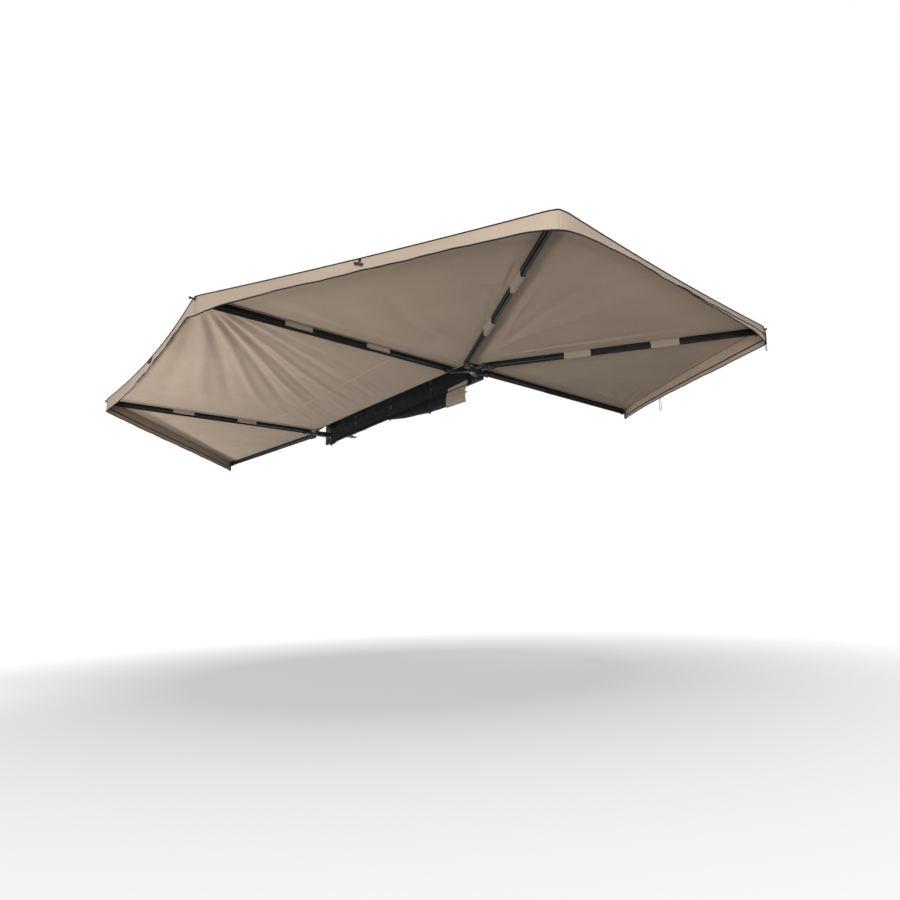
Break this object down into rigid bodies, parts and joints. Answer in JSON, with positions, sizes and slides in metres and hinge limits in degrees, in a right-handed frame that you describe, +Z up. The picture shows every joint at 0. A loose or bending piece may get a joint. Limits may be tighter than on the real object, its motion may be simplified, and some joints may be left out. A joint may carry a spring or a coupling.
{
  "type": "vehicle side awning",
  "caption": "Freestanding wrap-around roof-rack awning: arms fan out from pivot knuckles on a back rail under a canvas with a valance, with drop-down legs.",
  "frame": {"origin": "centre of the middle rack bracket's foot, on its underside", "axes": "+X forward along the rail, +Y outboard, away from the vehicle, +Z up"},
  "size_m": [6.394, 4.16, 0.3578],
  "materials": {
    "arm_black": "black anodised extrusion, satin",
    "corner_plastic": "black glass-filled moulding, fine grain",
    "knuckle_black": "black powder-coated casting",
    "steel": "stainless, turned",
    "bracket_paint": "black powder coat over steel plate",
    "canvas": "tan ripstop poly-cotton canvas, woven",
    "loop_fabric": "tan canvas loops with stitched ends",
    "bag_fabric": "black coated cloth, slightly glossy",
    "webbing": "black woven webbing",
    "cord": "black braided cord"
  },
  "bodies": {
    "root": {"canopy_side_panel": "canvas", "rear_knuckle": "knuckle_black", "front_knuckle": "knuckle_black", "rear_pivot_pin": "steel", "front_pivot_pin": "steel", "back_rail": "arm_black", "rail_cap_rear": "corner_plastic", "rail_cap_front": "corner_plastic", "rack_bracket_rear": "bracket_paint", "rack_bracket_middle": "bracket_paint", "rack_bracket_front": "bracket_paint", "travel_bag": "bag_fabric", "bag_strap_1": "webbing", "bag_strap_2": "webbing", "bag_strap_3": "webbing", "end_flap": "canvas"},
    "arm_1": {"arm_1_hinge_leaf": "knuckle_black", "arm_1_beam": "arm_black", "arm_1_tip_fitting": "corner_plastic", "canopy_front_fan": "canvas"},
    "arm_1_leg": {"arm_1_leg_tube": "arm_black"},
    "arm_1_pole": {"arm_1_leg_pole": "arm_black"},
    "arm_2": {"arm_2_hinge_leaf": "knuckle_black", "arm_2_beam": "arm_black", "arm_2_tip_fitting": "corner_plastic", "arm_2_inner_loop": "loop_fabric", "arm_2_outer_loop": "loop_fabric"},
    "arm_2_leg": {"arm_2_leg_tube": "arm_black"},
    "arm_2_pole": {"arm_2_leg_pole": "arm_black"},
    "arm_3": {"arm_3_hinge_leaf": "knuckle_black", "arm_3_beam": "arm_black", "arm_3_tip_fitting": "corner_plastic", "arm_3_inner_loop": "loop_fabric", "arm_3_outer_loop": "loop_fabric"},
    "arm_3_leg": {"arm_3_leg_tube": "arm_black"},
    "arm_3_pole": {"arm_3_leg_pole": "arm_black"},
    "arm_4": {"arm_4_hinge_leaf": "knuckle_black", "arm_4_beam": "arm_black", "arm_4_tip_fitting": "corner_plastic", "arm_4_inner_loop": "loop_fabric", "arm_4_outer_loop": "loop_fabric", "canopy_side_fan": "canvas"},
    "arm_4_leg": {"arm_4_leg_tube": "arm_black"},
    "arm_4_pole": {"arm_4_leg_pole": "arm_black"},
    "arm_5": {"arm_5_hinge_leaf": "knuckle_black", "arm_5_beam": "arm_black", "arm_5_tip_fitting": "corner_plastic", "arm_5_inner_loop": "loop_fabric", "arm_5_outer_loop": "loop_fabric", "canopy_rear_fan": "canvas", "corner_cord_loop": "cord"},
    "arm_5_leg": {"arm_5_leg_tube": "arm_black"},
    "arm_5_pole": {"arm_5_leg_pole": "arm_black"},
    "arm_6": {"arm_6_hinge_leaf": "knuckle_black", "arm_6_beam": "arm_black", "arm_6_tip_fitting": "corner_plastic", "canopy_far_fan": "canvas", "hem_cord_loop": "cord"},
    "arm_6_leg": {"arm_6_leg_tube": "arm_black"},
    "arm_6_pole": {"arm_6_leg_pole": "arm_black"}
  },
  "joints": [
    {"name": "arm_3_fold", "type": "hinge", "parent": "root", "child": "arm_3", "pos_m": [-1.27, 0.195, 0.02], "axis": [0, 0, -1], "range_deg": [0, 93], "deforming": ["canopy_side_panel"]},
    {"name": "arm_4_fold", "type": "hinge", "parent": "arm_3", "child": "arm_4", "pos_m": [-1.27, 0.195, 0.02], "axis": [0, 0, -1], "range_deg": [0, 60], "deforming": ["canopy_side_fan"]},
    {"name": "arm_5_fold", "type": "hinge", "parent": "arm_4", "child": "arm_5", "pos_m": [-1.27, 0.195, 0.02], "axis": [0, 0, -1], "range_deg": [0, 63], "deforming": ["canopy_rear_fan"]},
    {"name": "arm_6_fold", "type": "hinge", "parent": "arm_5", "child": "arm_6", "pos_m": [-1.27, 0.195, 0.02], "axis": [0, 0, -1], "range_deg": [0, 57], "deforming": ["canopy_far_fan"]},
    {"name": "arm_2_fold", "type": "hinge", "parent": "root", "child": "arm_2", "pos_m": [1.28, 0.195, 0.072], "axis": [0, 0, 1], "range_deg": [0, 89]},
    {"name": "arm_1_fold", "type": "hinge", "parent": "arm_2", "child": "arm_1", "pos_m": [1.28, 0.195, 0.072], "axis": [0, 0, 1], "range_deg": [0, 84], "deforming": ["canopy_front_fan"]},
    {"name": "arm_1_leg_swing", "type": "hinge", "parent": "arm_1", "child": "arm_1_leg", "pos_m": [3.27901, 0.42382, 0.0815], "axis": [-0.1219, 0.9925, 0], "range_deg": [-90, 0]},
    {"name": "arm_1_leg_slide", "type": "slide", "parent": "arm_1_leg", "child": "arm_1_pole", "axis": [0.9925, 0.1219, 0], "range_m": [-0.3305, 0]},
    {"name": "arm_2_leg_swing", "type": "hinge", "parent": "arm_2", "child": "arm_2_leg", "pos_m": [1.22839, 2.20641, 0.0815], "axis": [-0.9998, -0.0175, 0], "range_deg": [-90, 0]},
    {"name": "arm_2_leg_slide", "type": "slide", "parent": "arm_2_leg", "child": "arm_2_pole", "axis": [-0.0175, 0.9998, 0], "range_m": [-0.3305, 0]},
    {"name": "arm_3_leg_swing", "type": "hinge", "parent": "arm_3", "child": "arm_3_leg", "pos_m": [-1.27644, 2.20942, 0.0295], "axis": [-0.9986, -0.0523, 0], "range_deg": [-90, 0]},
    {"name": "arm_3_leg_slide", "type": "slide", "parent": "arm_3_leg", "child": "arm_3_pole", "axis": [-0.0523, 0.9986, 0], "range_m": [-0.2785, 0]},
    {"name": "arm_4_leg_swing", "type": "hinge", "parent": "arm_4", "child": "arm_4_leg", "pos_m": [-3.03274, 1.16723, 0.0295], "axis": [-0.454, -0.891, 0], "range_deg": [-90, 0], "deforming": ["arm_4_inner_loop", "arm_4_outer_loop"]},
    {"name": "arm_4_leg_slide", "type": "slide", "parent": "arm_4_leg", "child": "arm_4_pole", "axis": [-0.891, 0.454, 0], "range_m": [-0.2785, 0]},
    {"name": "arm_5_leg_swing", "type": "hinge", "parent": "arm_5", "child": "arm_5_leg", "pos_m": [-2.91714, -0.96093, 0.0295], "axis": [0.5878, -0.809, 0], "range_deg": [-90, 0], "deforming": ["arm_5_inner_loop", "arm_5_outer_loop"]},
    {"name": "arm_5_leg_slide", "type": "slide", "parent": "arm_5_leg", "child": "arm_5_pole", "axis": [-0.809, -0.5878, 0], "range_m": [-0.2785, 0]},
    {"name": "arm_6_leg_swing", "type": "hinge", "parent": "arm_6", "child": "arm_6_leg", "pos_m": [-1.1647, -1.81424, 0.0295], "axis": [0.9986, 0.0523, 0], "range_deg": [-90, 0]},
    {"name": "arm_6_leg_slide", "type": "slide", "parent": "arm_6_leg", "child": "arm_6_pole", "axis": [0.0523, -0.9986, 0], "range_m": [-0.2785, 0]}
  ],
  "couplings": [
    {"joint": "arm_4_fold", "follows": "arm_3_fold", "ratio": 0.64516},
    {"joint": "arm_5_fold", "follows": "arm_3_fold", "ratio": 0.67741},
    {"joint": "arm_6_fold", "follows": "arm_3_fold", "ratio": 0.6129},
    {"joint": "arm_2_fold", "follows": "arm_3_fold", "ratio": 0.95698},
    {"joint": "arm_1_fold", "follows": "arm_3_fold", "ratio": 0.90322},
    {"joint": "arm_1_leg_slide", "follows": "arm_1_leg_swing", "m_per_rad": 0.2104},
    {"joint": "arm_2_leg_slide", "follows": "arm_2_leg_swing", "m_per_rad": 0.2104},
    {"joint": "arm_3_leg_slide", "follows": "arm_3_leg_swing", "m_per_rad": 0.17729},
    {"joint": "arm_4_leg_slide", "follows": "arm_4_leg_swing", "m_per_rad": 0.17729},
    {"joint": "arm_5_leg_slide", "follows": "arm_5_leg_swing", "m_per_rad": 0.17729},
    {"joint": "arm_6_leg_slide", "follows": "arm_6_leg_swing", "m_per_rad": 0.17729}
  ]
}
